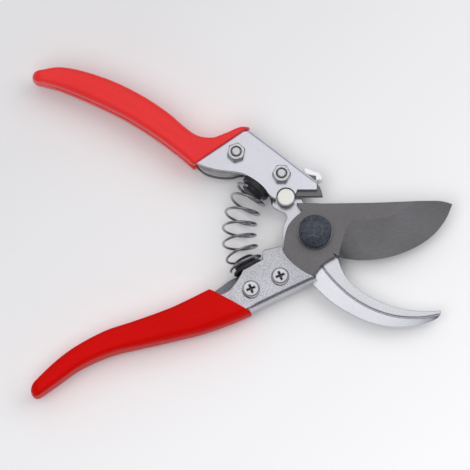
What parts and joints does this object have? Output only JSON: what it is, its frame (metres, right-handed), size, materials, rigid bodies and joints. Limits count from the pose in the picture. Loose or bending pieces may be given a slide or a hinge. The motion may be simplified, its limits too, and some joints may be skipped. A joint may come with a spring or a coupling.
{
  "type": "bypass pruning shears",
  "caption": "Bypass pruning shears, jaws open: curved blade and hook on a domed pivot bolt, red dipped grips, coil spring between the handles and a thumb latch.",
  "frame": {"origin": "on the pivot axis, at the flat end of the pivot bolt on the back, where the shears lie on the table", "axes": "+Z along the pivot axis towards the domed head, +X towards the jaws, +Y towards the hook half's handle"},
  "size_m": [0.181, 0.1446, 0.0177],
  "materials": {
    "blade_steel": "dark ground carbon steel",
    "hook_steel": "satin",
    "handle_steel": "satin nickel plate",
    "red_vinyl": "glossy dipped vinyl",
    "fasteners": "bright zinc plate",
    "spring_wire": "bright wire",
    "cap_black": "semi-gloss blue-black",
    "seat_black": "blackened steel",
    "lever_steel": "dark steel",
    "pale_plastic": "pale, slightly glossy"
  },
  "bodies": {
    "blade_half": {"blade": "blade_steel", "lower_handle": "handle_steel", "lower_grip": "red_vinyl", "lower_tang_spacer": "handle_steel", "lower_tang_screws": "fasteners", "lower_tang_nuts": "fasteners", "lower_spring_seat": "seat_black", "pivot_bolt": "cap_black", "pivot_head_washer": "fasteners", "pivot_spring_washer": "fasteners", "pivot_nut": "fasteners"},
    "hook_half": {"hook": "hook_steel", "upper_handle": "handle_steel", "upper_grip": "red_vinyl", "upper_tang_spacer": "handle_steel", "upper_tang_bolts": "fasteners", "upper_tang_nuts": "fasteners", "upper_spring_seat": "seat_black", "spring": "spring_wire", "latch_pin": "fasteners", "latch_friction_washer": "fasteners", "latch_button": "pale_plastic"},
    "latch": {"latch_lever": "lever_steel", "latch_thumb_tab": "pale_plastic"}
  },
  "joints": [
    {"name": "pivot", "type": "hinge", "parent": "blade_half", "child": "hook_half", "pos_m": [0, 0, 0], "axis": [0, 0, 1], "range_deg": [0, 45], "stiffness_Nm_per_rad": 2, "springref_deg": -20.05, "deforming": ["spring"]},
    {"name": "latch", "type": "hinge", "parent": "hook_half", "child": "latch", "pos_m": [-0.0124, 0.0153, 0], "axis": [0, 0, -1], "range_deg": [0, 10]}
  ]
}
